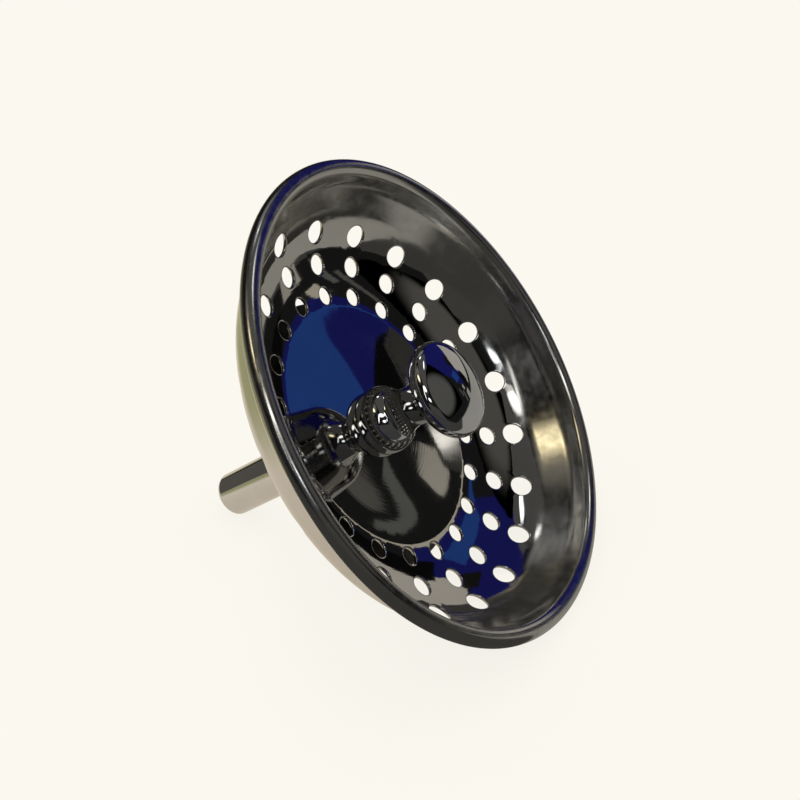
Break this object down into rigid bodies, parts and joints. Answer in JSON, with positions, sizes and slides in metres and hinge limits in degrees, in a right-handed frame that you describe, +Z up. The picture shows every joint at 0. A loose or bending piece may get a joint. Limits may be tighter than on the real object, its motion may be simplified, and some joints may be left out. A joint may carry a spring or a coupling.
{
  "type": "sink basket strainer",
  "caption": "Polished sink basket strainer: perforated pressed bowl with a rolled rim, a mushroom knob, a rubber stopper underneath and a plain locating post.",
  "frame": {"origin": "on the level surface that the strainer lies on, under the middle of its bounding box", "axes": "+Z up; the post's axis lies in the XZ plane and rises towards +X, with the knob at the +X end and the post's end at the -X end"},
  "size_m": [0.069, 0.084, 0.0679],
  "materials": {
    "knob_chrome": "polished chrome plate",
    "basket_steel": "mirror-polished pressed stainless steel",
    "stopper_rubber": "moulded black rubber",
    "washer_steel": "plain stainless washer",
    "post_chrome": "polished chrome plate"
  },
  "bodies": {
    "root": {"knob": "knob_chrome", "basket": "basket_steel", "stopper": "stopper_rubber", "stopper_washer": "washer_steel", "post": "post_chrome"}
  },
  "joints": []
}
